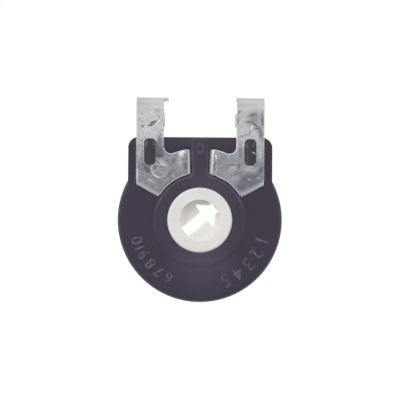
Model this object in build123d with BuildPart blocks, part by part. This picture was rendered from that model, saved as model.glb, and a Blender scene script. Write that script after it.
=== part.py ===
from build123d import *
import math
import os

os.makedirs("parts", exist_ok=True)

# A single-turn carbon trimmer for a circuit board, lengths in millimetres and angles in degrees.
# The rotor turns about Z, the board is the plane Z = 0 and the two end legs stand at +Y.

# Body outline, seen from the front: a disc with a flat-topped block on its upper half
body_radius = 7.5
block_side_step = 0.925
block_rise = 0.05
block_corner_radius = 0.95
rim_rounding = 0.45

# Body depths and walls
board_gap = 0.5
body_thickness = 5.5
front_wall = 1.2
side_wall = 0.9
cavity_corner_radius = 0.3

# Collar round the rotor and rib between the two feet, raised from the front face
collar_width = 1.16
collar_height = 0.35
collar_slope = 0.16
rib_width = 1.44
rib_fillet = 0.25

# Rear cover, staked on two corner posts and swaged under two nibs of the lower rim
cover_thickness = 0.8
cover_recess = 0.25
cover_rim_wall = 0.6
post_radius = 0.45
post_wall_gap = 0.225
post_head_radius = 0.75
post_head_height = 0.2
nib_length = 0.45
nib_half_angle = 4
nib_spread_angle = 45

# Rotor
arrow_angle = 40
rotor_share = 0.396
rotor_proud = 0.1
rotor_edge_chamfer = 0.12
socket_wall = 1.1
socket_depth = 0.9
web_thickness = 1.5
thrust_step = 0.23
core_step = 0.27
rear_step = 0.2
disc_thickness = 0.75
disc_margin = 0.05
lug_wall_gap = 0.4
lug_half_angle = 10
stop_half_angle = 36
stop_overlap = 0.7
stop_overhang = 0.35

# Arrow-shaped hole through the rotor, along the arrow from the axis
arrow_end_margin = 0.07
arrow_shaft_width = 1.0
arrow_notch = 0.475
arrow_barb = 0.57
arrow_barb_margin = 0.51
arrow_nose_length = 0.33

# Sheet metal of the three terminals, with their pins on the board
sheet = 0.3
fold_inner_radius = 0.1
leg_fold_inner_radius = 0.3
end_row_reach = 3.45
wiper_row_reach = 0.05
pin_pitch = 10.0
pin_width = 1.3
pin_length = 3.5
pin_tip_length = 0.7
pin_tip_width = 0.6

# End terminals: strip, foot, punched slot and the cut-off stubs of the tie bars
strip_edge_margin = 0.74
strip_width = 2.5
foot_collar_gap = 0.2
foot_rim_margin = 0.98
foot_strip_fillet = 0.66
punched_slot_width = 1.06
punched_slot_length = 2.4
punched_slot_corner_radius = 0.4
punched_slot_margin = 0.15
peg_crown = 0.2
peg_sunk = 0.02
stub_length = 1.2
strip_stub_reach = 1.54
leg_stub_height = 5.05
left_strip_stub = 0.1
left_leg_stub = 0.42
right_strip_stub = 0.17
right_leg_stub = 0.06

# Folds at both ends of a foot: a lip sunk in the face, and a tongue clinched behind it
outer_fold_angle = 61.5
outer_tongue_width = 0.8
outer_tongue_margin = 0.1
outer_clinch_reach = 1.2
feet_gap_outside = 1.83
feet_gap_inside = 1.57
inner_tongue_width = 0.6
inner_tongue_margin = 0.1
inner_clinch_reach = 1.0
lip_depth = 0.45

# Printed resistor on its horseshoe base
substrate_thickness = 0.6
substrate_bore_gap = 0.2
substrate_opening_half_angle = 40
ink_thickness = 0.04
track_width = 1.2
pad_middle_angle = 55
pad_width = 1.975
pad_margin = 0.1

# Wiper spring on the rotor
spring_sheet = 0.15
wiper_ring_width = 0.9
wiper_opening_half_angle = 50
wiper_room = 0.66
wiper_peg_radius = 0.3
wiper_peg_head_radius = 0.44
wiper_peg_head_height = 0.2
arm_offset = 0.4
arm_width = 0.6
arm_root = 2.0
arm_bend = 1.1
arm_toe = 0.5
arm_toe_drop = 0.2
arm_bend_radius = 0.4
tab_length = 0.8
finger_width = 0.6
finger_angle = 145
finger_root = 1.4
finger_bend = 0.7
finger_toe = 0.4
finger_toe_rise = 0.2
finger_bend_radius = 0.15

# Collector ring of the middle terminal, held on two pegs of the cover
collector_width = 1.15
collector_ear_radius = 0.7
collector_ear_reach = 0.95
collector_peg_radius = 0.35
collector_peg_head_radius = 0.55
collector_peg_head_height = 0.3
wiper_leg_width = 2.2

# Fits and clearances
running_fit = 0.03
axial_play = 0.05
contact_gap = 0.03
fixed_clearance = 0.05
loose_clearance = 0.1
overlap = 0.1
overrun = 1.0

# Heights, from the board up to the rotor's face
rear_rim_z = board_gap
front_z = board_gap + body_thickness
roof_z = front_z - front_wall
cover_rear_z = rear_rim_z + cover_recess
cover_front_z = cover_rear_z + cover_thickness
collector_top_z = cover_front_z + sheet
substrate_z = roof_z - substrate_thickness
ink_z = substrate_z - ink_thickness
disc_front_z = ink_z - wiper_room
disc_rear_z = disc_front_z - disc_thickness
spring_middle_z = disc_front_z + spring_sheet / 2
foot_middle_z = front_z + sheet / 2
collar_top_z = front_z + collar_height
rotor_face_z = collar_top_z + rotor_proud
socket_floor_z = rotor_face_z - socket_depth

# Radii and places that follow from the sizes above
block_width = 2 * (body_radius - block_side_step)
block_top = body_radius + block_rise
cavity_radius = body_radius - side_wall
rotor_radius = rotor_share * body_radius
socket_radius = rotor_radius - socket_wall
core_radius = rotor_radius - core_step
collar_radius = rotor_radius + collar_width
thrust_radius = rotor_radius + thrust_step
wiper_inner_radius = thrust_radius + fixed_clearance
wiper_outer_radius = wiper_inner_radius + wiper_ring_width
wiper_peg_place = (wiper_inner_radius + wiper_outer_radius) / 2
disc_radius = wiper_outer_radius + disc_margin
lug_radius = cavity_radius - lug_wall_gap
stop_radius = lug_radius - stop_overlap
contact_radius = wiper_outer_radius + arm_offset
track_inner_radius = contact_radius - track_width / 2
track_outer_radius = contact_radius + track_width / 2
substrate_inner_radius = thrust_radius + substrate_bore_gap
substrate_outer_radius = cavity_radius - loose_clearance
pad_outer_radius = substrate_outer_radius - pad_margin
pad_half_angle = math.degrees(math.asin(pad_width / (track_inner_radius + pad_outer_radius)))
collector_inner_radius = core_radius + loose_clearance
collector_outer_radius = collector_inner_radius + collector_width
collector_middle_radius = collector_inner_radius + collector_width / 2
ear_place = collector_outer_radius + collector_ear_reach
post_x = block_width / 2 - side_wall - post_wall_gap - post_radius
post_y = block_top - side_wall - post_wall_gap - post_radius
post_places = [(-post_x, post_y), (post_x, post_y)]
strip_outer = block_width / 2 - strip_edge_margin
strip_inner = strip_outer - strip_width
strip_centre = (strip_inner + strip_outer) / 2
strip_stub_row = block_top + strip_stub_reach
end_row = block_top + end_row_reach
wiper_row = collector_outer_radius + wiper_row_reach
foot_inner_radius = collar_radius + foot_collar_gap
foot_outer_radius = body_radius - foot_rim_margin
fold_outer_radius = fold_inner_radius + sheet
punched_slot_row = block_top - punched_slot_margin - punched_slot_length / 2
groove_depth = lip_depth + fixed_clearance
reach = 4 * body_radius

# The two fold lines of the right foot: X runs along the fold, Y points towards the foot
outer_fold_turn = math.radians(90 - outer_fold_angle)
outer_fold = Plane((0, 0, 0), x_dir=(math.cos(outer_fold_turn), math.sin(outer_fold_turn), 0))
inner_fold_top = Vector(feet_gap_outside / 2, foot_outer_radius)
inner_fold_foot = Vector(feet_gap_inside / 2, foot_inner_radius)
inner_fold_length = (inner_fold_foot - inner_fold_top).length
inner_fold = Plane(inner_fold_top, x_dir=inner_fold_foot - inner_fold_top)
outer_fold_slant = fold_outer_radius * math.sin(outer_fold_turn)
outer_fold_length = (strip_outer + outer_fold_slant) / math.cos(outer_fold_turn)
outer_tongue_start = substrate_outer_radius - outer_tongue_margin - outer_tongue_width
inner_tongue_start = inner_fold_length - inner_tongue_margin - inner_tongue_width


def rotor_direction(angle):
    """Direction in the board's plane at an angle from the rotor's arrow."""
    turn = math.radians(arrow_angle + angle)
    return Vector(math.cos(turn), math.sin(turn))


def rotor_plane(height):
    """Flat plane at a height, with X along the rotor's arrow."""
    return Plane((0, 0, height), x_dir=rotor_direction(0))


def wedge(middle_angle, half_angle, mode):
    """Draws a triangle with its point on the axis, to cut a sector out of a ring or to keep one."""
    far = reach / math.cos(math.radians(half_angle))
    points = [(0, 0)]
    for side in (-1, 1):
        turn = math.radians(middle_angle + side * half_angle)
        points.append((far * math.cos(turn), far * math.sin(turn)))
    Polygon(*points, mode=mode)


def ring_sector(inner_radius, outer_radius, middle_angle, half_angle):
    """Draws one sector of a ring into an empty sketch."""
    Circle(outer_radius)
    wedge(middle_angle, half_angle, Mode.INTERSECT)
    Circle(inner_radius, mode=Mode.SUBTRACT)


def body_outline(sketch, inset):
    """Draws the body's outline, pulled in by a wall, with the small corners that the inside has."""
    Circle(body_radius - inset)
    Rectangle(block_width - 2 * inset, block_top - inset, align=(Align.CENTER, Align.MIN))
    fillet(sketch.vertices().group_by(Axis.Y)[-1], radius=cavity_corner_radius)


def fold_patch(fold, start, end, near, far):
    """Draws a rectangle beside a fold line, from start to end along it."""
    corners = [(start, near), (end, near), (end, far), (start, far)]
    Polygon(*[fold.from_local_coords(corner) for corner in corners])


def tongue_patches(clearance):
    """Draws what the tongues of the right foot pass through."""
    outer_end = outer_tongue_start + outer_tongue_width + clearance
    inner_end = inner_tongue_start + inner_tongue_width + clearance
    fold_patch(outer_fold, outer_tongue_start - clearance, outer_end, -clearance, sheet + clearance)
    fold_patch(inner_fold, inner_tongue_start - clearance, inner_end, -clearance, sheet + clearance)


def folded_strip(section, route, bend_radius, thickness, width):
    """Sheet strip that follows a bent route drawn in a section plane."""
    with BuildPart() as strip:
        with BuildSketch(section):
            with BuildLine():
                FilletPolyline(*route, radius=bend_radius + thickness / 2)
            trace(line_width=thickness)
        extrude(amount=width)
    return strip.part


def fold_section(fold, start):
    """Section plane across a fold line: X towards the foot, Y up, extruded along the fold."""
    return Plane(fold.from_local_coords((start, 0)), x_dir=fold.y_dir, z_dir=fold.x_dir)


def pin_outline(centre):
    """Draws a solder pin with a tapered tip, seen from the front of its leg."""
    half = pin_width / 2
    half_tip = pin_tip_width / 2
    taper_z = pin_tip_length - pin_length
    right = [(half, sheet), (half, taper_z), (half_tip, -pin_length)]
    left = [(-x, z) for x, z in reversed(right)]
    Polygon(*[(centre + x, z) for x, z in right + left])


# Locating peg of the housing, at the origin: an oblong whose top is crowned like a rod
with BuildPart() as peg:
    peg_width = punched_slot_width - 2 * fixed_clearance
    peg_length = punched_slot_length - 2 * fixed_clearance
    peg_top_z = front_z + sheet - peg_sunk
    crown_radius = (peg_width**2 / 4 + peg_crown**2) / (2 * peg_crown)
    with BuildSketch(Plane.XY.offset(front_z - overlap)):
        RectangleRounded(peg_width, peg_length, punched_slot_corner_radius - fixed_clearance)
    extrude(amount=peg_top_z - front_z + overlap)
    with BuildSketch(Plane.XZ):
        with Locations((0, peg_top_z - crown_radius)):
            Circle(crown_radius)
    extrude(amount=peg_length, both=True, mode=Mode.INTERSECT)

# Housing: block and disc in one moulding, hollow from the back
with BuildPart() as housing:
    with BuildSketch(Plane.XY.offset(rear_rim_z)) as block:
        Rectangle(block_width, block_top, align=(Align.CENTER, Align.MIN))
        fillet(block.vertices().group_by(Axis.Y)[-1], radius=block_corner_radius)
    extrude(amount=body_thickness)
    with BuildSketch(Plane.XZ) as half_disc:
        with Locations((0, rear_rim_z)):
            Rectangle(body_radius, body_thickness, align=(Align.MIN, Align.MIN))
        fillet(half_disc.vertices().group_by(Axis.Y)[-1].sort_by(Axis.X)[-1], radius=rim_rounding)
    revolve(axis=Axis.Z)

    # Collar and rib stand on the front face
    with BuildSketch(Plane.XY.offset(front_z)) as raised:
        Circle(collar_radius)
        Rectangle(rib_width, block_top, align=(Align.CENTER, Align.MIN))
        rib_root = math.sqrt(collar_radius**2 - (rib_width / 2) ** 2)
        for side in (-1, 1):
            corner = raised.vertices().sort_by_distance((side * rib_width / 2, rib_root))[0]
            fillet(corner, radius=rib_fillet)
    extrude(amount=collar_height)
    chamfer(housing.faces().sort_by(Axis.Z)[-1].edges(), length=collar_slope)

    # Cavity, with a stepped rim for the cover
    with BuildSketch(Plane.XY.offset(rear_rim_z)) as cavity:
        body_outline(cavity, side_wall)
    extrude(amount=roof_z - rear_rim_z, mode=Mode.SUBTRACT)
    with BuildSketch(Plane.XY.offset(rear_rim_z)) as cover_seat:
        body_outline(cover_seat, cover_rim_wall)
    extrude(amount=cover_front_z - rear_rim_z, mode=Mode.SUBTRACT)

    # Stop block for the rotor's lug, hanging from the front wall
    with BuildSketch(Plane.XY.offset(disc_rear_z - stop_overhang)):
        ring_sector(stop_radius, cavity_radius + side_wall / 2, 90, stop_half_angle)
    extrude(until=Until.NEXT)

    # Corner posts with heads staked over the cover
    with BuildSketch(Plane.XY.offset(cover_rear_z)):
        with Locations(*post_places):
            Circle(post_radius)
    extrude(amount=roof_z - cover_rear_z)
    with BuildSketch(Plane.XY.offset(cover_rear_z)):
        with Locations(*post_places):
            Circle(post_head_radius)
    extrude(amount=-post_head_height)

    # Nibs of the lower rim, swaged over the cover's edge
    for nib_angle in (-90 - nib_spread_angle, -90 + nib_spread_angle):
        with BuildSketch(Plane.XY.offset(rear_rim_z)):
            nib_outside = body_radius - cover_rim_wall / 2
            ring_sector(body_radius - cover_rim_wall - nib_length, nib_outside, nib_angle, nib_half_angle)
        extrude(amount=cover_recess)

    # Bore for the rotor
    with BuildSketch(Plane.XY.offset(roof_z)):
        Circle(rotor_radius + running_fit)
    extrude(amount=collar_top_z - roof_z + overrun, mode=Mode.SUBTRACT)

    # Oblong crowned pegs that locate the terminals by their punched slots
    with Locations((-strip_centre, punched_slot_row), (strip_centre, punched_slot_row)):
        add(peg.part)

    # Grooves for the folded lips, and slots through the wall for the tongues
    with BuildSketch(Plane.XY.offset(front_z)):
        groove_width = fold_outer_radius + fixed_clearance
        outer_start = foot_inner_radius - fixed_clearance
        outer_end = outer_fold_length + fixed_clearance
        inner_end = inner_fold_length + fixed_clearance
        fold_patch(outer_fold, outer_start, outer_end, -fixed_clearance, groove_width)
        Rectangle(2 * (strip_outer + fixed_clearance), reach, mode=Mode.INTERSECT)
        fold_patch(inner_fold, -fixed_clearance, inner_end, -fixed_clearance, groove_width)
        mirror(about=Plane.YZ)
    extrude(amount=-groove_depth, mode=Mode.SUBTRACT)
    with BuildSketch(Plane.XY.offset(front_z)):
        tongue_patches(fixed_clearance)
        mirror(about=Plane.YZ)
    extrude(amount=-front_wall, mode=Mode.SUBTRACT)
housing.part.label = "housing"
export_step(housing.part, "parts/housing.step")


def foot_outline(sketch, fold_trim):
    """Draws the right foot with its strip, ending a little before or right at its two fold lines."""
    Circle(foot_outer_radius)
    with Locations((strip_centre, 0)):
        Rectangle(strip_width, strip_stub_row, align=(Align.CENTER, Align.MIN))
    strip_root = math.sqrt(foot_outer_radius**2 - strip_inner**2)
    fillet(sketch.vertices().sort_by_distance((strip_inner, strip_root))[0], radius=foot_strip_fillet)
    Circle(foot_inner_radius, mode=Mode.SUBTRACT)
    for fold in (outer_fold, inner_fold):
        corners = [(-reach, fold_trim), (reach, fold_trim), (reach, reach), (-reach, reach)]
        Polygon(*[fold.from_local_coords(corner) for corner in corners], mode=Mode.INTERSECT)


def end_terminal(strip_stub, leg_stub):
    """Right end terminal: foot with two folded ends, punched strip, leg and pin, and tie-bar stubs."""
    lip_route = [(fold_outer_radius + sheet, foot_middle_z), (sheet / 2, foot_middle_z)]
    lip_route.append((sheet / 2, front_z - lip_depth))
    lips = []
    for fold in (outer_fold, inner_fold):
        section = fold_section(fold, -overrun)
        lips.append(folded_strip(section, lip_route, fold_inner_radius, sheet, reach))
    tongues = []
    for fold, start, width, clinch_z, clinch_reach in (
        (outer_fold, outer_tongue_start, outer_tongue_width, ink_z, outer_clinch_reach),
        (inner_fold, inner_tongue_start, inner_tongue_width, roof_z, inner_clinch_reach),
    ):
        clinch_middle_z = clinch_z - sheet / 2
        route = [(sheet / 2, front_z - lip_depth / 2), (sheet / 2, clinch_middle_z)]
        route.append((clinch_reach, clinch_middle_z))
        tongues.append(folded_strip(fold_section(fold, start), route, fixed_clearance, sheet, width))
    leg_route = [(strip_stub_row, foot_middle_z), (end_row, foot_middle_z), (end_row, 0)]
    leg_section = Plane((strip_inner, 0, 0), x_dir=(0, 1, 0), z_dir=(1, 0, 0))
    leg = folded_strip(leg_section, leg_route, leg_fold_inner_radius, sheet, strip_width)

    with BuildPart() as terminal:
        # Folded lips, trimmed to the foot's outline
        add(lips)
        with BuildSketch(Plane.XY.offset(front_z - lip_depth)) as whole_foot:
            foot_outline(whole_foot, 0)
        extrude(amount=lip_depth + sheet, mode=Mode.INTERSECT)

        # Flat foot and strip, with the tongues and the leg
        with BuildSketch(Plane.XY.offset(front_z)) as flat_foot:
            foot_outline(flat_foot, fold_outer_radius)
        extrude(amount=sheet)
        add(tongues)
        add(leg)
        with BuildSketch(Plane.XZ.offset(-end_row - sheet / 2)):
            pin_outline(pin_pitch / 2)
        extrude(amount=sheet)

        # Punched slot
        with BuildSketch(Plane.XY.offset(front_z)):
            with Locations((strip_centre, punched_slot_row)):
                RectangleRounded(punched_slot_width, punched_slot_length, punched_slot_corner_radius)
        extrude(amount=sheet, mode=Mode.SUBTRACT)

        # What is left of the bars that tied the two terminals together
        with BuildSketch(Plane.XY.offset(front_z)):
            with Locations((strip_inner + sheet, strip_stub_row)):
                Rectangle(strip_stub + sheet, stub_length, align=(Align.MAX, Align.CENTER))
        extrude(amount=sheet)
        with BuildSketch(Plane.XZ.offset(-end_row - sheet / 2)):
            with Locations((strip_inner + sheet, leg_stub_height)):
                Rectangle(leg_stub + sheet, stub_length, align=(Align.MAX, Align.CENTER))
        extrude(amount=sheet)
    return terminal.part


# Right end terminal
right_terminal = end_terminal(right_strip_stub, right_leg_stub)
right_terminal.label = "right_terminal"
export_step(right_terminal, "parts/right_terminal.step")

# Left end terminal, the mirror image with stubs of its own
left_terminal = mirror(end_terminal(left_strip_stub, left_leg_stub), about=Plane.YZ)
left_terminal.label = "left_terminal"
export_step(left_terminal, "parts/left_terminal.step")

# Phenolic base of the resistor, open towards the legs
with BuildPart() as resistive_substrate:
    with BuildSketch(Plane.XY.offset(substrate_z)):
        Circle(substrate_outer_radius)
        Circle(substrate_inner_radius, mode=Mode.SUBTRACT)
        wedge(90, substrate_opening_half_angle, Mode.SUBTRACT)
    extrude(amount=substrate_thickness)
    with BuildSketch(Plane.XY.offset(substrate_z)):
        tongue_patches(fixed_clearance)
        mirror(about=Plane.YZ)
    extrude(amount=substrate_thickness, mode=Mode.SUBTRACT)
resistive_substrate.part.label = "resistive_substrate"
export_step(resistive_substrate.part, "parts/resistive_substrate.step")

# Printed carbon track, between the two pads
with BuildPart() as carbon_track:
    with BuildSketch(Plane.XY.offset(ink_z)):
        Circle(track_outer_radius)
        Circle(track_inner_radius, mode=Mode.SUBTRACT)
        wedge(90, pad_middle_angle + pad_half_angle, Mode.SUBTRACT)
    extrude(amount=ink_thickness)
carbon_track.part.label = "carbon_track"
export_step(carbon_track.part, "parts/carbon_track.step")

# Printed silver pads, under the clinched tongues at the track's ends
with BuildPart() as silver_pads:
    for pad_angle in (90 - pad_middle_angle, 90 + pad_middle_angle):
        with BuildSketch(Plane.XY.offset(ink_z)):
            ring_sector(track_inner_radius, pad_outer_radius, pad_angle, pad_half_angle)
        extrude(amount=ink_thickness)
    with BuildSketch(Plane.XY.offset(ink_z)):
        tongue_patches(fixed_clearance)
        mirror(about=Plane.YZ)
    extrude(amount=ink_thickness, mode=Mode.SUBTRACT)
silver_pads.part.label = "silver_pads"
export_step(silver_pads.part, "parts/silver_pads.step")

# Rotor: a turned form with sockets front and back, an arrow hole, a stop lug and two pegs
with BuildPart() as rotor:
    with BuildSketch(Plane.XZ):
        with BuildLine():
            Polyline(
                (0, socket_floor_z - web_thickness),
                (socket_radius, socket_floor_z - web_thickness),
                (socket_radius, cover_rear_z),
                (core_radius - rear_step, cover_rear_z),
                (core_radius - rear_step, cover_front_z + axial_play),
                (core_radius, cover_front_z + axial_play),
                (core_radius, disc_rear_z),
                (disc_radius, disc_rear_z),
                (disc_radius, disc_front_z),
                (thrust_radius, disc_front_z),
                (thrust_radius, roof_z - axial_play),
                (rotor_radius, roof_z - axial_play),
                (rotor_radius, rotor_face_z),
                (socket_radius, rotor_face_z),
                (socket_radius, socket_floor_z),
                (0, socket_floor_z),
                close=True,
            )
        make_face()
    revolve(axis=Axis.Z)
    face_edges = rotor.edges().filter_by(GeomType.CIRCLE).group_by(Axis.Z)[-1]
    chamfer(face_edges.sort_by(SortBy.RADIUS)[-1], length=rotor_edge_chamfer)
    with BuildSketch(rotor_plane(disc_rear_z)):
        ring_sector(core_radius, lug_radius, 0, lug_half_angle)
    extrude(amount=disc_thickness)
    with BuildSketch(rotor_plane(disc_rear_z)):
        ring_sector(thrust_radius, disc_radius + overrun, 180, wiper_opening_half_angle)
    extrude(amount=disc_thickness, mode=Mode.SUBTRACT)
    with BuildSketch(rotor_plane(socket_floor_z)):
        half_shaft = arrow_shaft_width / 2
        half_head = socket_radius - arrow_barb_margin
        arrow_end = socket_radius - arrow_end_margin
        upper = [(-arrow_end, half_shaft), (arrow_notch, half_shaft), (arrow_barb, half_head)]
        upper += [(arrow_end - arrow_nose_length, half_shaft), (arrow_end, half_shaft)]
        Polygon(*upper, *[(x, -y) for x, y in reversed(upper)])
    extrude(amount=-web_thickness, mode=Mode.SUBTRACT)
    with BuildSketch(rotor_plane(disc_front_z)):
        with Locations((0, -wiper_peg_place), (0, wiper_peg_place)):
            Circle(wiper_peg_radius)
    extrude(amount=spring_sheet)
    with BuildSketch(rotor_plane(disc_front_z + spring_sheet)):
        with Locations((0, -wiper_peg_place), (0, wiper_peg_place)):
            Circle(wiper_peg_head_radius)
    extrude(amount=wiper_peg_head_height)
rotor.part.label = "rotor"
export_step(rotor.part, "parts/rotor.step")

# Wiper spring: an open ring, one arm up to the track and two fingers down to the collector
arm_top_z = ink_z - contact_gap - spring_sheet / 2
arm_route = [(-arm_root, spring_middle_z), (-arm_bend, spring_middle_z)]
arm_route += [(0, arm_top_z), (arm_toe, arm_top_z - arm_toe_drop)]
arm_start = rotor_direction(0) * (contact_radius - arm_width / 2)
arm_section = Plane(arm_start, x_dir=rotor_direction(90), z_dir=rotor_direction(0))
arm = folded_strip(arm_section, arm_route, arm_bend_radius, spring_sheet, arm_width)
finger_low_z = collector_top_z + contact_gap + spring_sheet / 2
finger_route = [(-finger_root, spring_middle_z), (-finger_bend, spring_middle_z)]
finger_route += [(finger_bend, finger_low_z), (finger_bend + finger_toe, finger_low_z + finger_toe_rise)]
finger_start = rotor_direction(finger_angle) * (wiper_inner_radius + fixed_clearance)
finger_across = rotor_direction(finger_angle + 90)
finger_section = Plane(finger_start, x_dir=finger_across, z_dir=rotor_direction(finger_angle))
finger = folded_strip(finger_section, finger_route, finger_bend_radius, spring_sheet, finger_width)
with BuildPart() as wiper:
    with BuildSketch(rotor_plane(disc_front_z)):
        Circle(wiper_outer_radius)
        Circle(wiper_inner_radius, mode=Mode.SUBTRACT)
        wedge(180, wiper_opening_half_angle, Mode.SUBTRACT)
        with Locations((contact_radius + arm_width / 2, -arm_root)):
            tab_reach = contact_radius + arm_width / 2 - wiper_peg_place
            Rectangle(tab_reach, tab_length, align=(Align.MAX, Align.MIN))
        with Locations((0, -wiper_peg_place), (0, wiper_peg_place)):
            Circle(wiper_peg_radius + running_fit, mode=Mode.SUBTRACT)
    extrude(amount=spring_sheet)
    add(arm)
    add(finger)
    mirror(finger, about=Plane((0, 0, 0), x_dir=rotor_direction(0), z_dir=rotor_direction(90)))
wiper.part.label = "wiper"
export_step(wiper.part, "parts/wiper.step")

# Collector ring of the middle terminal, with its leg bent down through the cover
collector_middle_z = cover_front_z + sheet / 2
wiper_leg_route = [(collector_middle_radius, collector_middle_z), (wiper_row, collector_middle_z)]
wiper_leg_route.append((wiper_row, 0))
wiper_leg_section = Plane((wiper_leg_width / 2, 0, 0), x_dir=(0, -1, 0), z_dir=(-1, 0, 0))
wiper_leg = folded_strip(wiper_leg_section, wiper_leg_route, fold_inner_radius, sheet, wiper_leg_width)
with BuildPart() as wiper_terminal:
    with BuildSketch(Plane.XY.offset(cover_front_z)):
        Circle(collector_outer_radius)
        with Locations((-ear_place, 0), (ear_place, 0)):
            Circle(collector_ear_radius)
        Rectangle(2 * ear_place, 2 * collector_ear_radius)
        Circle(collector_inner_radius, mode=Mode.SUBTRACT)
        with Locations((-ear_place, 0), (ear_place, 0)):
            Circle(collector_peg_radius + running_fit, mode=Mode.SUBTRACT)
    extrude(amount=sheet)
    add(wiper_leg)
    with BuildSketch(Plane.XZ.offset(wiper_row - sheet / 2)):
        pin_outline(0)
    extrude(amount=sheet)
wiper_terminal.part.label = "wiper_terminal"
export_step(wiper_terminal.part, "parts/wiper_terminal.step")

# Rear cover, with the rotor's rear bore, the leg's slot and the collector's staked pegs
with BuildPart() as rear_cover:
    with BuildSketch(Plane.XY.offset(cover_rear_z)) as plate:
        body_outline(plate, cover_rim_wall + fixed_clearance)
        Circle(core_radius - rear_step + running_fit, mode=Mode.SUBTRACT)
        with Locations(*post_places):
            Circle(post_radius + fixed_clearance, mode=Mode.SUBTRACT)
        slot_near = wiper_row - sheet / 2 - fold_inner_radius - fixed_clearance
        slot_far = wiper_row + sheet / 2 + fixed_clearance
        with Locations((0, -slot_near)):
            slot_width = wiper_leg_width + 2 * fixed_clearance
            Rectangle(slot_width, slot_far - slot_near, align=(Align.CENTER, Align.MAX), mode=Mode.SUBTRACT)
    extrude(amount=cover_thickness)
    with BuildSketch(Plane.XY.offset(cover_front_z)):
        with Locations((-ear_place, 0), (ear_place, 0)):
            Circle(collector_peg_radius)
    extrude(amount=sheet)
    with BuildSketch(Plane.XY.offset(collector_top_z)):
        with Locations((-ear_place, 0), (ear_place, 0)):
            Circle(collector_peg_head_radius)
    extrude(amount=collector_peg_head_height)
rear_cover.part.label = "rear_cover"
export_step(rear_cover.part, "parts/rear_cover.step")
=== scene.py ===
import math

import bmesh
import bpy
from mathutils import Matrix, Vector


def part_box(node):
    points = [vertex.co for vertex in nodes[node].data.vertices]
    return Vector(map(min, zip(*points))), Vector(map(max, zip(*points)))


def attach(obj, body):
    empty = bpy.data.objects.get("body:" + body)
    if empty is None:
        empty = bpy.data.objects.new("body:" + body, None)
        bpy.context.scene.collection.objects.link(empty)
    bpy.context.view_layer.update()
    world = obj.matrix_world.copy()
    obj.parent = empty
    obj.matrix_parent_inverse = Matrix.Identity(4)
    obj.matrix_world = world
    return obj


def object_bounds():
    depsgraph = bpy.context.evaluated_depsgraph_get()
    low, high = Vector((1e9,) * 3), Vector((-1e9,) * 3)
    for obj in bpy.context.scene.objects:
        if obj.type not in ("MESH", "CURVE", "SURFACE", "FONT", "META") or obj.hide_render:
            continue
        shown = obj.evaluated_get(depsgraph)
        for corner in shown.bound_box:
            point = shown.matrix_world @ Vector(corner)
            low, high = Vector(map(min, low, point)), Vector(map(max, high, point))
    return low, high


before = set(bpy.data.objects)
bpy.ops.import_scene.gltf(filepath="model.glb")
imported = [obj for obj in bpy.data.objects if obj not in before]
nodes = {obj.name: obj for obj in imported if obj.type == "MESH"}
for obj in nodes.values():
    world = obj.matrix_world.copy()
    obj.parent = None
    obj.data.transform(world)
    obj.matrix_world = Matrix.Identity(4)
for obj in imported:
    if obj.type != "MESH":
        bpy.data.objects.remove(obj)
cad_box = [list(corner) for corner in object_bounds()]
scene = bpy.context.scene
mm = 0.001


# Housing: the body is one thermoplastic moulding, a disc with a flat-topped block, a raised collar and a rib.
# It is injection moulded in a spark-eroded tool, which leaves a satin skin with a fine even grain, and it is
# coloured through in a dark violet. Two pegs on its face stand in the slots of the end terminals.
def linear(hex_colour):
    """Linear colour with alpha from an sRGB hex value."""
    channels = [int(hex_colour[i:i + 2], 16) / 255 for i in (1, 3, 5)]
    return [c / 12.92 if c <= 0.04045 else ((c + 0.055) / 1.055) ** 2.4 for c in channels] + [1.0]


def add_node(tree, kind, inputs, **settings):
    """Adds a node, with its settings, and with a value or a link on each named or numbered input."""
    node = tree.nodes.new(kind)
    for name, value in settings.items():
        setattr(node, name, value)
    for socket, value in inputs.items():
        if isinstance(value, bpy.types.NodeSocket):
            tree.links.new(value, node.inputs[socket])
        else:
            node.inputs[socket].default_value = value
    return node


# Satin thermoplastic: the violet drifts a little where the melt flowed, under a skin with a fine grain.
# The real grain is about 0.03 mm; it is drawn at 0.12 mm so that it shows.
housing_moulding = bpy.data.materials.new("satin_violet_thermoplastic")
housing_moulding.use_nodes = True
tree = housing_moulding.node_tree
shader = tree.nodes["Principled BSDF"]
place = add_node(tree, "ShaderNodeTexCoord", {}).outputs["Object"]
flow_size = 4 * mm
grain_size = 0.12 * mm
grain_depth = 0.02 * mm
flow = add_node(tree, "ShaderNodeTexNoise", {"Vector": place, "Scale": 1 / flow_size, "Detail": 3.0})
grain = add_node(tree, "ShaderNodeTexNoise", {"Vector": place, "Scale": 1 / grain_size, "Detail": 2.0})
tone = add_node(tree, "ShaderNodeValToRGB", {"Fac": flow.outputs["Fac"]})
tone.color_ramp.elements[0].position = 0.3
tone.color_ramp.elements[0].color = linear("#24192f")
tone.color_ramp.elements[1].position = 0.7
tone.color_ramp.elements[1].color = linear("#291d36")

# What stands above the face, such as the collar and the rib, is painted a little lighter: a painted highlight
sheet_thickness = 0.3 * mm
face_slack = 0.05 * mm
face_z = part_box("left_terminal")[1].z - sheet_thickness
rib_top_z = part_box("housing")[1].z
where = add_node(tree, "ShaderNodeSeparateXYZ", {"Vector": place})
raised_painted_light_share = add_node(
    tree, "ShaderNodeMapRange",
    {"Value": where.outputs["Z"], "From Min": face_z + face_slack, "From Max": rib_top_z, "To Max": 0.4})
body_tone = add_node(
    tree, "ShaderNodeMix",
    {0: raised_painted_light_share.outputs["Result"], 6: tone.outputs["Color"], 7: linear("#34293d")},
    data_type="RGBA").outputs[2]

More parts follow.
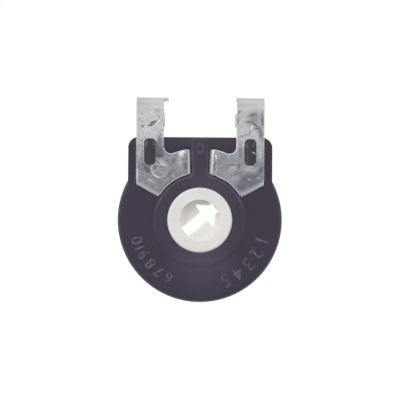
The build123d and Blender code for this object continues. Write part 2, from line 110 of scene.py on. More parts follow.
# Soft patches of another tone: place, half length and half width in mm, turn in degrees, and tone
patch_z = 6 * mm
tone_patches = [
    # Painted reflection below the collar, and a painted highlight on the upper part of the collar, both paler
    (0.3, -3.9, 3.7, 3.0, 0, "#40344e"),
    (0.9, 3.3, 3.6, 1.7, -20, "#362c41"),
    # The pegs are greyer, with painted highlights at their upper ends and painted shade at their lower ends
    (-4.62, 6.2, 2.6, 1.6, 90, "#28252d"),
    (4.62, 6.2, 2.6, 1.6, 90, "#2a2730"),
    (-4.95, 6.95, 0.45, 0.2, 75, "#8a8690"),
    (-4.28, 6.95, 0.35, 0.2, 110, "#7a7681"),
    (-4.62, 5.25, 0.5, 0.3, 0, "#151219"),
    (4.62, 5.25, 0.5, 0.3, 0, "#151219"),
    (4.22, 6.85, 0.45, 0.22, 110, "#76727e"),
    (4.85, 6.90, 0.38, 0.20, 80, "#66626d"),
    # A painted highlight down the right peg
    (4.30, 5.80, 0.90, 0.14, 90, "#4c4550"),
    # The block is a little greyer along its top
    (0.0, 7.7, 5.5, 1.5, 0, "#302a36"),
]
for x, y, half_length, half_width, turn, patch_tone in tone_patches:
    patch = add_node(
        tree, "ShaderNodeMapping",
        {"Vector": place, "Location": (x * mm, y * mm, patch_z), "Rotation": (0, 0, math.radians(turn)),
         "Scale": (half_length * mm, half_width * mm, half_length * mm)},
        vector_type="TEXTURE")
    fade = add_node(
        tree, "ShaderNodeTexGradient", {"Vector": patch.outputs["Vector"]}, gradient_type="SPHERICAL")
    body_tone = add_node(
        tree, "ShaderNodeMix", {0: fade.outputs["Fac"], 6: body_tone, 7: linear(patch_tone)},
        data_type="RGBA").outputs[2]

# Painted highlight on the rounded edges, which are found by how far the surface leans: most at the top
# of the collar, less at its foot, and little along its sides and the rib
edge_highlight_low_y = -4.5 * mm
edge_highlight_high_y = 7.5 * mm
surface_normal = add_node(tree, "ShaderNodeNewGeometry", {}).outputs["Normal"]
lean = add_node(tree, "ShaderNodeSeparateXYZ", {"Vector": surface_normal})
edge_share = add_node(tree, "ShaderNodeValToRGB", {"Fac": lean.outputs["Z"]})
edge_share.color_ramp.elements[0].position = 0.6
edge_share.color_ramp.elements[0].color = (0, 0, 0, 1)
edge_share.color_ramp.elements[1].position = 0.8
edge_share.color_ramp.elements[1].color = (0, 0, 0, 1)
edge_share.color_ramp.elements.new(0.7).color = (1, 1, 1, 1)
up_the_face = add_node(
    tree, "ShaderNodeMapRange",
    {"Value": where.outputs["Y"], "From Min": edge_highlight_low_y, "From Max": edge_highlight_high_y})
height_share = add_node(tree, "ShaderNodeValToRGB", {"Fac": up_the_face.outputs["Result"]})
height_share.color_ramp.elements[0].position = 0.08
height_share.color_ramp.elements[0].color = (0.7, 0.7, 0.7, 1)
height_share.color_ramp.elements[1].position = 0.8
height_share.color_ramp.elements[1].color = (0.3, 0.3, 0.3, 1)
for up_share, share in ((0.15, 0.2), (0.42, 0.15), (0.58, 1.0), (0.7, 1.0)):
    height_share.color_ramp.elements.new(up_share).color = (share, share, share, 1)
edge_highlight_share = add_node(
    tree, "ShaderNodeMath", {0: edge_share.outputs["Color"], 1: height_share.outputs["Color"]},
    operation="MULTIPLY")
edge_highlight_tone = add_node(
    tree, "ShaderNodeMix",
    {0: edge_highlight_share.outputs["Value"], 6: body_tone, 7: linear("#504a59")}, data_type="RGBA")

# Painted light lifts the shade in the narrow gaps, which are found by how closed in the surface is
gap_reach = 0.25 * mm
open_side = add_node(tree, "ShaderNodeAmbientOcclusion", {"Distance": gap_reach}, samples=8)
gap_light_share = add_node(
    tree, "ShaderNodeMapRange",
    {"Value": open_side.outputs["AO"], "From Min": 0.8, "From Max": 0.3, "To Max": 0.7})
gap_light_tone = add_node(
    tree, "ShaderNodeMix",
    {0: gap_light_share.outputs["Result"], 6: edge_highlight_tone.outputs[2], 7: linear("#7c7883")}, data_type="RGBA")
sheen = add_node(tree, "ShaderNodeMapRange", {"Value": grain.outputs["Fac"], "To Min": 0.36, "To Max": 0.5})
relief = add_node(
    tree, "ShaderNodeBump", {"Height": grain.outputs["Fac"], "Strength": 0.12, "Distance": grain_depth})
tree.links.new(gap_light_tone.outputs[2], shader.inputs["Base Color"])
tree.links.new(sheen.outputs["Result"], shader.inputs["Roughness"])
tree.links.new(relief.outputs["Normal"], shader.inputs["Normal"])
shader.inputs["IOR"].default_value = 1.5
nodes["housing"].data.materials.clear()
nodes["housing"].data.materials.append(housing_moulding)


# Dial numerals: plain numbers, nought on the rib and one to ten round the disc, raised in the same moulding.
# They are engraved in the tool, so their tops are flat and their edges a little soft.
small_numeral = 1.05 * mm
large_numeral = 1.3 * mm
cap_height_share = 0.72
numeral_relief = 0.05 * mm
numeral_soft_edge = 0.025 * mm
numeral_circle = 5.95 * mm
rib_numeral_y = 6.45 * mm
right_start = 108
right_step = 12
left_start = 208
left_step = 10
on_right = [
    (right_start + right_step * i, str(i + 1), numeral_circle, face_z, large_numeral) for i in range(5)]
on_left = [
    (left_start + left_step * i, str(i + 6), numeral_circle, face_z, small_numeral) for i in range(5)]
on_rib = [(0, "0", rib_numeral_y, rib_top_z, small_numeral)]
numerals = bmesh.new()
for clock_angle, figure, numeral_radius, numeral_z, numeral_height in on_right + on_left + on_rib:
    letter = bpy.data.curves.new("numeral", "FONT")
    letter.body = figure
    letter.align_x = "CENTER"
    letter.align_y = "CENTER"
    letter.size = numeral_height / cap_height_share
    letter.extrude = numeral_relief
    letter.bevel_depth = numeral_soft_edge
    letter.offset = -numeral_soft_edge
    letter_object = bpy.data.objects.new("numeral", letter)
    scene.collection.objects.link(letter_object)
    bpy.context.view_layer.update()
    depsgraph = bpy.context.evaluated_depsgraph_get()
    flat = bpy.data.meshes.new_from_object(letter_object.evaluated_get(depsgraph))
    clock_turn = Matrix.Rotation(-math.radians(clock_angle), 4, "Z")
    flat.transform(clock_turn @ Matrix.Translation((0, numeral_radius, numeral_z)))
    numerals.from_mesh(flat)
    bpy.data.objects.remove(letter_object)
    bpy.data.curves.remove(letter)
    bpy.data.meshes.remove(flat)

# Numerals painted paler in spots of about 0.35 mm: a painted highlight on their raised strokes
numeral_highlight_moulding = housing_moulding.copy()
numeral_highlight_moulding.name = "violet_thermoplastic_highlighted"
highlight_spot_size = 0.35 * mm
numeral_highlight_moulding.node_tree.nodes[flow.name].inputs["Scale"].default_value = 1 / highlight_spot_size
numeral_highlight_ramp = numeral_highlight_moulding.node_tree.nodes[tone.name].color_ramp
numeral_highlight_ramp.elements[0].position = 0.42
numeral_highlight_ramp.elements[0].color = linear("#3a3145")
numeral_highlight_ramp.elements[1].position = 0.6
numeral_highlight_ramp.elements[1].color = linear("#5d5668")

# The tops and sides of a numeral come apart, so their seams are joined
seam_width = 0.001 * mm
bmesh.ops.remove_doubles(numerals, verts=numerals.verts, dist=seam_width)
numeral_mesh = bpy.data.meshes.new("dial_numerals")
numerals.to_mesh(numeral_mesh)
numerals.free()
numeral_mesh.materials.clear()
numeral_mesh.materials.append(numeral_highlight_moulding)
dial_numerals = bpy.data.objects.new("dial_numerals", numeral_mesh)
scene.collection.objects.link(dial_numerals)
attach(dial_numerals, "body")


# Rear cover: a flat plate of the same kind of plastic from another tool, staked on two posts of the body.
# Its back is plain and a little duller than the body.
cover_moulding = housing_moulding.copy()
cover_moulding.name = "matt_violet_thermoplastic"
cover_moulding.node_tree.nodes[sheen.name].inputs["To Min"].default_value = 0.52
cover_moulding.node_tree.nodes[sheen.name].inputs["To Max"].default_value = 0.66
nodes["rear_cover"].data.materials.clear()
nodes["rear_cover"].data.materials.append(cover_moulding)


# Terminals: three stampings of brass strip, dipped in molten tin before they are cut and folded.
# The tin lies uneven on them, bright and smooth on the strips, dull and stained on the feet that were pressed
# by the clinching tool; the folds and the cut edges, which are a little rounded, carry painted highlights.
terminal_names = ("left_terminal", "right_terminal", "wiper_terminal")
tinned_brass = bpy.data.materials.new("hot_dip_tinned_brass")
tinned_brass.use_nodes = True
tree = tinned_brass.node_tree
shader = tree.nodes["Principled BSDF"]
place = add_node(tree, "ShaderNodeTexCoord", {}).outputs["Object"]
where = add_node(tree, "ShaderNodeSeparateXYZ", {"Vector": place})

# Tone of the tin film: light on the strips, a little darker on the right one, and dull on the feet
middle_half = 0.5 * mm
foot_end_y = 5.4 * mm
strip_start_y = 8.0 * mm
right_share = add_node(
    tree, "ShaderNodeMapRange",
    {"Value": where.outputs["X"], "From Min": -middle_half, "From Max": middle_half})
strip_tone = add_node(
    tree, "ShaderNodeMix",
    {0: right_share.outputs["Result"], 6: linear("#cfcfd0"), 7: linear("#c9c9cb")}, data_type="RGBA")
strip_share = add_node(
    tree, "ShaderNodeMapRange",
    {"Value": where.outputs["Y"], "From Min": foot_end_y, "From Max": strip_start_y},
    interpolation_type="SMOOTHSTEP")
foot_tone = add_node(
    tree, "ShaderNodeMix",
    {0: right_share.outputs["Result"], 6: linear("#a2a1a8"), 7: linear("#a4a3aa")}, data_type="RGBA")
film_tone = add_node(
    tree, "ShaderNodeMix",
    {0: strip_share.outputs["Result"], 6: foot_tone.outputs[2], 7: strip_tone.outputs[2]},
    data_type="RGBA").outputs[2]

# Stains, rubs and clouds in the film, and a few painted highlights and painted shade, each an oval with a
# ragged edge: place, half length and half width in mm, turn in degrees, tone, how much of it shows, and how
# much of it is edge
left_stains_and_highlights = [
    (-4.37, 8.77, 0.62, 0.26, 20, "#a2a2a5", 1.0, 0.7),
    (-4.50, 8.64, 0.40, 0.10, 10, "#58585c", 0.9, 0.6),
    (-4.24, 8.91, 0.44, 0.09, 18, "#606064", 0.9, 0.6),
    (-5.30, 8.53, 0.24, 0.09, -25, "#4a4a4c", 1.0, 0.6),
    (-5.36, 9.66, 0.14, 0.11, 0, "#868688", 0.9, 0.8),
    (-5.29, 9.95, 0.26, 0.06, 95, "#989899", 0.8, 0.8),
    (-5.56, 9.20, 0.16, 0.11, 30, "#9c9c9e", 0.8, 0.8),
    (-5.33, 8.95, 0.22, 0.11, 80, "#a4a4a6", 0.8, 0.8),
    (-3.94, 10.05, 0.45, 0.24, 5, "#b4b4b6", 0.8, 0.9),
    (-3.82, 9.42, 0.26, 0.09, -65, "#8a8a8e", 0.9, 0.6),
    (-3.56, 8.18, 0.18, 0.09, -30, "#92929a", 0.85, 0.8),
    (-3.78, 8.00, 0.16, 0.08, 20, "#9c9ca2", 0.8, 0.8),
    (-3.60, 7.77, 0.24, 0.11, -50, "#8e8e98", 0.85, 0.8),
    (-3.38, 8.75, 0.35, 0.11, 90, "#a4a4a8", 0.7, 0.8),
    (-3.70, 7.30, 0.80, 0.40, 95, "#7c7b88", 0.9, 1.0),
    (-5.60, 7.66, 0.60, 0.10, 88, "#9a9a9e", 0.7, 0.8),
    (-3.74, 6.40, 1.20, 0.70, 100, "#6e6e79", 0.9, 0.9),
    (-3.80, 5.85, 0.45, 0.26, -25, "#60606a", 0.8, 0.9),
    (-2.50, 5.28, 0.55, 0.42, 70, "#8e8e96", 0.7, 0.9),
    (-2.65, 5.72, 0.55, 0.16, 20, "#bebdc4", 0.7, 0.9),
    (-1.85, 5.30, 0.80, 0.36, 95, "#c6c5cb", 0.8, 0.9),
    (-1.90, 4.50, 0.45, 0.30, 90, "#a4a3aa", 0.7, 0.9),
    (-1.32, 4.92, 0.75, 0.12, 94, "#6c6c74", 0.8, 0.8),
    (-4.92, 4.70, 0.85, 0.36, 130, "#70707a", 0.9, 0.9),
    (-4.30, 3.48, 0.75, 0.28, -28, "#c0bfc6", 0.7, 0.9),
    (-3.66, 2.68, 0.45, 0.12, -10, "#7a7a82", 0.7, 0.8),
    (-5.58, 6.10, 1.10, 0.26, 90, "#c6c5ca", 0.7, 0.9),
    (-1.75, 5.78, 0.45, 0.26, 20, "#d2d1d6", 0.8, 0.9),
    (-4.02, 6.40, 1.10, 0.20, 90, "#5e5e68", 0.85, 0.9),
    (-4.55, 4.95, 0.55, 0.28, -10, "#6c6c75", 0.85, 0.9),
    (-4.43, 9.87, 0.24, 0.07, 55, "#f6f6f6", 0.9, 0.8),
    (-5.38, 7.20, 0.14, 0.06, 80, "#77777c", 0.9, 0.6),
    (-5.55, 6.75, 0.12, 0.05, 60, "#77777c", 0.9, 0.6),
    # The next two are painted highlights: a white glint at the upper corner of the left foot and a pale line
    # down its outer edge
    (-1.66, 6.08, 0.50, 0.26, 24, "#ffffff", 0.95, 0.7),
    (-5.73, 4.35, 1.30, 0.07, 90, "#f0eff4", 0.9, 0.6),
]
right_stains_and_shade = [
    (4.86, 9.25, 1.25, 1.00, 80, "#8a8a92", 0.75, 1.0),
    (4.78, 9.64, 0.72, 0.26, 5, "#7a7a79", 0.85, 1.0),
    (4.48, 8.96, 0.60, 0.22, -5, "#747479", 0.85, 1.0),
    (5.05, 8.64, 0.52, 0.11, -33, "#5c5c64", 0.9, 0.6),
    (5.18, 8.36, 0.46, 0.11, 5, "#686870", 0.9, 0.7),
    (5.64, 9.15, 1.20, 0.20, 90, "#74747a", 0.9, 0.9),
    (5.48, 7.95, 1.25, 0.38, 101, "#74747e", 0.9, 1.0),
    (3.44, 9.08, 0.55, 0.13, 88, "#88888e", 0.8, 0.9),
    (4.57, 8.06, 0.26, 0.07, 60, "#6e6e76", 0.85, 0.6),
    (4.31, 7.83, 0.28, 0.07, 28, "#76767e", 0.8, 0.6),
    (3.85, 7.69, 0.46, 0.10, 5, "#82828a", 0.8, 0.7),
    (3.54, 9.88, 0.36, 0.16, 50, "#7e7e82", 0.8, 0.8),
    (1.24, 5.95, 0.40, 0.13, 95, "#4c4c54", 0.9, 0.7),
    (1.30, 4.85, 0.75, 0.13, 86, "#5a5a62", 0.8, 0.8),
    (1.41, 4.50, 0.30, 0.12, 80, "#b8b8be", 0.7, 0.8),
    (2.10, 5.30, 0.90, 0.65, 100, "#93949b", 0.7, 1.0),
    (2.95, 4.75, 0.70, 0.50, 30, "#c2c1c6", 0.8, 1.0),
    (2.85, 5.03, 0.75, 0.07, 2, "#62626a", 0.9, 0.7),
    (3.52, 4.97, 0.50, 0.13, 85, "#6a6a72", 0.8, 0.8),
    (4.40, 4.62, 0.80, 0.20, 0, "#c4c3c9", 0.7, 0.9),
    (4.15, 4.00, 1.15, 0.60, 15, "#7e7e88", 0.8, 1.0),
    (3.36, 4.24, 0.60, 0.07, 22, "#686c72", 0.8, 0.7),
    (3.23, 3.84, 0.55, 0.28, 5, "#aeb0b6", 0.7, 0.9),
    (5.58, 4.60, 0.75, 0.34, 60, "#6a6a74", 0.9, 0.9),
    (5.45, 6.10, 0.95, 0.30, 90, "#cac9cf", 0.8, 0.9),
    (3.64, 6.20, 0.95, 0.26, 90, "#83828a", 0.85, 0.9),
    (3.95, 2.75, 0.40, 0.14, 20, "#86868e", 0.7, 0.9),
    # The next two are painted shade: dark lines along the left and lower edges of the right slot
    (4.10, 6.20, 1.20, 0.14, 90, "#2e2e33", 0.95, 0.6),
    (4.58, 4.99, 0.45, 0.10, 0, "#34343a", 0.9, 0.6),
    (3.18, 9.05, 0.48, 0.06, 90, "#5c5c60", 0.9, 0.5),
    (4.50, 3.52, 1.90, 0.75, 24, "#7c7b87", 0.85, 0.55),
    (3.75, 2.95, 0.60, 0.40, 30, "#73727e", 0.85, 0.9),
    (4.49, 3.77, 0.20, 0.09, 20, "#d2d1d7", 0.85, 0.7),
    (5.33, 3.88, 0.20, 0.09, 15, "#d2d1d7", 0.85, 0.7),
    (4.58, 4.88, 0.50, 0.11, 0, "#cccbd1", 0.9, 0.6),
]

# The round mark that the clinching tool pressed in the left foot, with a few scratches, given in the same way
# but with clean edges. Its relief is painted: a painted highlight at its lower left rim and its top, and
# painted shade towards the slot
tool_mark_with_painted_light = [
    (-3.68, 4.61, 0.83, 0.83, 0, "#eeedf3", 0.9, 0.08),
    (-3.60, 4.71, 0.86, 0.86, 0, "#b2b1b8", 0.95, 0.12),
    (-4.15, 4.80, 0.45, 0.32, 80, "#83828a", 0.9, 0.9),
    (-3.50, 5.10, 0.55, 0.36, -40, "#d0cfd5", 0.8, 0.9),
    (-3.85, 5.22, 0.32, 0.07, -35, "#64646b", 0.8, 0.6),
    (-3.62, 4.86, 0.42, 0.06, -12, "#86858c", 0.7, 0.7),
    (-3.45, 4.50, 0.42, 0.06, -5, "#8c8b92", 0.6, 0.7),
]
ragged_size = 0.25 * mm
ragged_reach = 0.22 * mm
ragged = add_node(tree, "ShaderNodeTexNoise", {"Vector": place, "Scale": 1 / ragged_size, "Detail": 3.0})
drift = add_node(
    tree, "ShaderNodeVectorMath",
    {0: ragged.outputs["Color"], 1: (ragged_reach, ragged_reach, 0),
     2: (-ragged_reach / 2, -ragged_reach / 2, 0)},
    operation="MULTIPLY_ADD")
film_place = add_node(tree, "ShaderNodeVectorMath", {0: place, 1: drift.outputs["Vector"]}, operation="ADD")
ragged_ovals = [(film_place.outputs["Vector"], *stain) for stain in left_stains_and_highlights + right_stains_and_shade]
clean_ovals = [(place, *mark) for mark in tool_mark_with_painted_light]
for oval_place, x, y, half_length, half_width, turn, oval_tone, share, edge in ragged_ovals + clean_ovals:
    oval = add_node(
        tree, "ShaderNodeMapping",
        {"Vector": oval_place, "Location": (x * mm, y * mm, 0),
         "Rotation": (0, 0, math.radians(turn)), "Scale": (half_length * mm, half_width * mm, 1)},
        vector_type="TEXTURE")
    fade = add_node(
        tree, "ShaderNodeTexGradient", {"Vector": oval.outputs["Vector"]}, gradient_type="SPHERICAL")
    cover = add_node(
        tree, "ShaderNodeMapRange", {"Value": fade.outputs["Fac"], "From Max": edge, "To Max": share},
        interpolation_type="SMOOTHSTEP")
    film_tone = add_node(
        tree, "ShaderNodeMix", {0: cover.outputs["Result"], 6: film_tone, 7: linear(oval_tone)},
        data_type="RGBA").outputs[2]

# Blotches of 0.7 mm, specks of 0.12 mm, and wiping streaks that run with the lower edge of each foot. They
# are stronger on the left foot than on the right one, and faint on the strips
blotch_size = 0.7 * mm
speck_size = 0.12 * mm
streak_width = 0.12 * mm
streak_length = 0.9 * mm
streak_turn = math.radians(25)
blotch = add_node(
    tree, "ShaderNodeTexNoise",
    {"Vector": place, "Scale": 1 / blotch_size, "Detail": 4.0, "Roughness": 0.55, "Distortion": 1.2})
specks = add_node(tree, "ShaderNodeTexNoise", {"Vector": place, "Scale": 1 / speck_size, "Detail": 3.0})
off_rib = add_node(tree, "ShaderNodeMath", {0: where.outputs["X"]}, operation="ABSOLUTE")
mirrored_place = add_node(
    tree, "ShaderNodeCombineXYZ",
    {"X": off_rib.outputs["Value"], "Y": where.outputs["Y"], "Z": where.outputs["Z"]})
along_streak = add_node(
    tree, "ShaderNodeMapping",
    {"Vector": mirrored_place.outputs["Vector"], "Rotation": (0, 0, streak_turn),
     "Scale": (streak_length, streak_width, streak_length)},
    vector_type="TEXTURE")
streaks = add_node(
    tree, "ShaderNodeTexNoise", {"Vector": along_streak.outputs["Vector"], "Scale": 1.0, "Detail": 3.0})
for pattern, low, high, left_depth, right_depth, strip_depth in (
    (blotch, 0.34, 0.56, 0.68, 0.84, 0.88),
    (streaks, 0.34, 0.6, 0.72, 0.84, 0.94),
    (specks, 0.3, 0.5, 0.92, 0.94, 0.93),
):
    foot_depth = add_node(
        tree, "ShaderNodeMapRange",
        {"Value": right_share.outputs["Result"], "To Min": left_depth, "To Max": right_depth})
    depth = add_node(
        tree, "ShaderNodeMapRange",
        {"Value": strip_share.outputs["Result"], "To Min": foot_depth.outputs["Result"],
         "To Max": strip_depth})
    shade = add_node(
        tree, "ShaderNodeMapRange",
        {"Value": pattern.outputs["Fac"], "From Min": low, "From Max": high,
         "To Min": depth.outputs["Result"]})
    film_tone = add_node(
        tree, "ShaderNodeMix", {0: 1.0, 6: film_tone, 7: shade.outputs["Result"]},
        data_type="RGBA", blend_type="MULTIPLY").outputs[2]

# The bent tops of the legs were wiped while hot, so their tin is even, dull and a little warm in tone
bend_start_y = 9.9 * mm
bend_end_y = 10.7 * mm
wiped_low_z = 4.2 * mm
wiped_high_z = 5.4 * mm
leg_outer_x = 5.7 * mm
leg_side = add_node(
    tree, "ShaderNodeMapRange",
    {"Value": where.outputs["Y"], "From Min": bend_start_y, "From Max": bend_end_y},
    interpolation_type="SMOOTHSTEP")
leg_top = add_node(
    tree, "ShaderNodeMapRange",
    {"Value": where.outputs["Z"], "From Min": wiped_low_z, "From Max": wiped_high_z},
    interpolation_type="SMOOTHSTEP")
leg_share = add_node(
    tree, "ShaderNodeMath", {0: leg_side.outputs["Result"], 1: leg_top.outputs["Result"]},
    operation="MULTIPLY")
across_legs = add_node(
    tree, "ShaderNodeMapRange",
    {"Value": where.outputs["X"], "From Min": -leg_outer_x, "From Max": leg_outer_x})
leg_tone = add_node(tree, "ShaderNodeValToRGB", {"Fac": across_legs.outputs["Result"]})
leg_tone.color_ramp.elements[0].color = linear("#b9b8b7")
leg_tone.color_ramp.elements[1].color = linear("#cbcaca")
# Painted light: lighter at 0.2 to 0.25 across the legs, by the left stub, to lift the shade in its inner
# corner
for across_share, leg_stop_colour in ((0.2, "#d1cfcd"), (0.25, "#d6d4d2"), (0.79, "#bdbcbb")):
    leg_tone.color_ramp.elements.new(across_share).color = linear(leg_stop_colour)
wiped_tone = add_node(
    tree, "ShaderNodeMix",
    {0: leg_share.outputs["Value"], 6: film_tone, 7: leg_tone.outputs["Color"]}, data_type="RGBA").outputs[2]

# Painted highlights on the folds and edges, found by how far the surface leans: brightest at the two folds
# beside the rib
fold_inner_x = 1.2 * mm
fold_outer_x = 1.8 * mm
surface_normal = add_node(tree, "ShaderNodeNewGeometry", {}).outputs["Normal"]
lean = add_node(tree, "ShaderNodeSeparateXYZ", {"Vector": surface_normal})
fold_share = add_node(tree, "ShaderNodeValToRGB", {"Fac": lean.outputs["Z"]})
fold_share.color_ramp.elements[0].position = 0.05
fold_share.color_ramp.elements[0].color = (0, 0, 0, 1)
fold_share.color_ramp.elements[1].position = 0.997
fold_share.color_ramp.elements[1].color = (0, 0, 0, 1)
fold_share.color_ramp.elements.new(0.2).color = (1, 1, 1, 1)
fold_share.color_ramp.elements.new(0.975).color = (1, 1, 1, 1)
off_leg = add_node(
    tree, "ShaderNodeMath", {0: 1.0, 1: leg_share.outputs["Value"]}, operation="SUBTRACT")
fold_highlight_share = add_node(
    tree, "ShaderNodeMath", {0: fold_share.outputs["Color"], 1: off_leg.outputs["Value"]},
    operation="MULTIPLY")
outer_share = add_node(
    tree, "ShaderNodeMapRange",
    {"Value": off_rib.outputs["Value"], "From Min": fold_inner_x, "From Max": fold_outer_x})
left_line = add_node(tree, "ShaderNodeValToRGB", {"Fac": lean.outputs["Z"]})
left_line.color_ramp.elements[0].position = 0.6
left_line.color_ramp.elements[0].color = linear("#d4d2d6")
left_line.color_ramp.elements[1].position = 0.97
left_line.color_ramp.elements[1].color = linear("#908e96")
left_line.color_ramp.elements.new(0.74).color = linear("#dcdade")
left_line.color_ramp.elements.new(0.88).color = linear("#dcdade")
right_line = add_node(tree, "ShaderNodeValToRGB", {"Fac": lean.outputs["Z"]})
right_line.color_ramp.elements[0].position = 0.5
right_line.color_ramp.elements[0].color = linear("#fdfbff")
right_line.color_ramp.elements[1].position = 0.9
right_line.color_ramp.elements[1].color = linear("#cfccd2")
inner_tone = add_node(
    tree, "ShaderNodeMix",
    {0: right_share.outputs["Result"], 6: left_line.outputs["Color"], 7: right_line.outputs["Color"]},
    data_type="RGBA")
outer_line = add_node(tree, "ShaderNodeValToRGB", {"Fac": lean.outputs["Z"]})
outer_line.color_ramp.elements[0].position = 0.6
outer_line.color_ramp.elements[0].color = linear("#dedce3")
outer_line.color_ramp.elements[1].position = 0.98
outer_line.color_ramp.elements[1].color = linear("#adabb4")
outer_line.color_ramp.elements.new(0.8).color = linear("#c9c7d0")
outer_line.color_ramp.elements.new(0.93).color = linear("#b4b2bc")
fold_highlight_tone = add_node(
    tree, "ShaderNodeMix",
    {0: outer_share.outputs["Result"], 6: inner_tone.outputs[2], 7: outer_line.outputs["Color"]},
    data_type="RGBA")
tin_tone = add_node(
    tree, "ShaderNodeMix",
    {0: fold_highlight_share.outputs["Value"], 6: wiped_tone, 7: fold_highlight_tone.outputs[2]}, data_type="RGBA")

# The film shines unevenly, the folds and edges less, and the wiped legs are matt
speck_depth = 0.02 * mm
blotch_depth = 0.06 * mm
film_sheen = add_node(
    tree, "ShaderNodeMapRange", {"Value": blotch.outputs["Fac"], "To Min": 0.26, "To Max": 0.5})
fold_sheen = add_node(
    tree, "ShaderNodeMix", {0: fold_highlight_share.outputs["Value"], 2: film_sheen.outputs["Result"], 3: 0.55})
sheen = add_node(
    tree, "ShaderNodeMix", {0: leg_share.outputs["Value"], 2: fold_sheen.outputs[0], 3: 0.75})
relief_share = add_node(tree, "ShaderNodeMath", {0: off_leg.outputs["Value"], 1: 0.4}, operation="MULTIPLY")
fine_relief = add_node(
    tree, "ShaderNodeBump",
    {"Height": specks.outputs["Fac"], "Strength": relief_share.outputs["Value"], "Distance": speck_depth})
relief = add_node(
    tree, "ShaderNodeBump",
    {"Height": blotch.outputs["Fac"], "Strength": relief_share.outputs["Value"], "Distance": blotch_depth,
     "Normal": fine_relief.outputs["Normal"]})
tree.links.new(tin_tone.outputs[2], shader.inputs["Base Color"])
tree.links.new(sheen.outputs[0], shader.inputs["Roughness"])
tree.links.new(relief.outputs["Normal"], shader.inputs["Normal"])
shader.inputs["Metallic"].default_value = 1.0

# The sheet's edges are rolled round, after its facets have been joined to whole flats
rolled_radius = 0.04 * mm
sharp_angle = math.radians(40)
flat_angle = math.radians(0.5)
for name in terminal_names:
    terminal = nodes[name]
    terminal.data.materials.clear()
    terminal.data.materials.append(tinned_brass)
    joined = terminal.modifiers.new("joined_facets", "WELD")
    joined.merge_threshold = seam_width
    flats = terminal.modifiers.new("whole_flats", "DECIMATE")
    flats.decimate_type = "DISSOLVE"
    flats.angle_limit = flat_angle
    rounded = terminal.modifiers.new("rolled_edges", "BEVEL")
    rounded.width = rolled_radius
    rounded.segments = 2
    rounded.limit_method = "ANGLE"
    rounded.angle_limit = sharp_angle
    rounded.harden_normals = True


# Tin ridges: where the molten tin drained and froze it left low bright ridges and drops on strips and feet.
# They are solid tin, smooth and rounded, a few hundredths of a millimetre high.
# Frozen tin: bright, with ripples of 0.2 mm, and duller on the ridges that lie along the collar.
bright_tin = bpy.data.materials.new("frozen_tin")
bright_tin.use_nodes = True
tree = bright_tin.node_tree
shader = tree.nodes["Principled BSDF"]
place = add_node(tree, "ShaderNodeTexCoord", {}).outputs["Object"]
ripple_size = 0.2 * mm
dull_end_y = 4.15 * mm
bright_start_y = 4.45 * mm
ripple = add_node(tree, "ShaderNodeTexNoise", {"Vector": place, "Scale": 1 / ripple_size, "Detail": 2.0})
tone = add_node(tree, "ShaderNodeValToRGB", {"Fac": ripple.outputs["Fac"]})
tone.color_ramp.elements[0].position = 0.35
tone.color_ramp.elements[0].color = linear("#d8d7d9")
tone.color_ramp.elements[1].position = 0.55
tone.color_ramp.elements[1].color = linear("#fbfafa")
where = add_node(tree, "ShaderNodeSeparateXYZ", {"Vector": place})
bright_share = add_node(
    tree, "ShaderNodeMapRange",
    {"Value": where.outputs["Y"], "From Min": dull_end_y, "From Max": bright_start_y})
tin_tone = add_node(
    tree, "ShaderNodeMix",
    {0: bright_share.outputs["Result"], 6: linear("#cfccd4"), 7: tone.outputs["Color"]}, data_type="RGBA")
tree.links.new(tin_tone.outputs[2], shader.inputs["Base Color"])
shader.inputs["Metallic"].default_value = 1.0
shader.inputs["Roughness"].default_value = 0.25

# Each ridge has a width and a path, in mm. A point of the path is a place on the sheet's face and a drop
# below it
ridge_paths = [
    # On the left strip and the end of the left foot
    (0.08, [(-5.12, 8.50, 0), (-4.98, 8.47, 0), (-4.90, 8.50, 0)]),
    (0.10, [(-4.25, 8.52, 0), (-4.06, 8.66, 0), (-3.88, 8.90, 0), (-3.70, 9.13, 0)]),
    (0.12, [(-1.84, 6.09, 0), (-1.62, 6.20, 0), (-1.42, 6.26, 0)]),
    # On the right strip
    (0.12, [(4.72, 8.72, 0), (4.68, 8.44, 0), (4.63, 8.17, 0)]),
    (0.06, [(3.25, 9.48, 0), (3.23, 9.05, 0), (3.25, 8.62, 0)]),
    # Drops at the end of the right foot, beside the rib
    (0.15, [(1.33, 5.83, 0), (1.53, 5.87, 0)]),
    (0.11, [(1.37, 5.61, 0), (1.57, 5.64, 0)]),
    (0.07, [(1.22, 4.80, 0), (1.26, 4.72, 0)]),
    (0.08, [(1.42, 4.91, 0), (1.46, 4.83, 0)]),
    (0.08, [(1.47, 4.66, 0), (1.51, 4.58, 0)]),
    (0.08, [(1.34, 4.42, 0), (1.38, 4.32, 0)]),
    # A sliver across the right slot
    (0.065, [(4.74, 6.26, 0.02), (4.88, 6.15, 0.02), (5.04, 6.04, 0.02)]),
    # Along the edge of the right foot at the collar
    (0.14, [(1.30, 4.11, 0), (1.85, 3.90, 0), (2.35, 3.62, 0), (2.62, 3.43, 0)]),
    (0.11, [(2.62, 3.43, 0), (3.05, 3.06, 0), (3.40, 2.66, 0), (3.60, 2.40, 0)]),
]
sheet_top_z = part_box("left_terminal")[1].z
ridge_curve = bpy.data.curves.new("tin_ridges", "CURVE")
ridge_curve.dimensions = "3D"
for width, path in ridge_paths:
    spline = ridge_curve.splines.new("NURBS")
    spline.points.add(len(path) - 1)
    for point, (x, y, drop) in zip(spline.points, path):
        point.co = (x * mm, y * mm, sheet_top_z - drop * mm, 1)
        point.radius = width
    spline.order_u = 3
    spline.use_endpoint_u = True
ridge_lines = bpy.data.objects.new("ridge_lines", ridge_curve)
scene.collection.objects.link(ridge_lines)

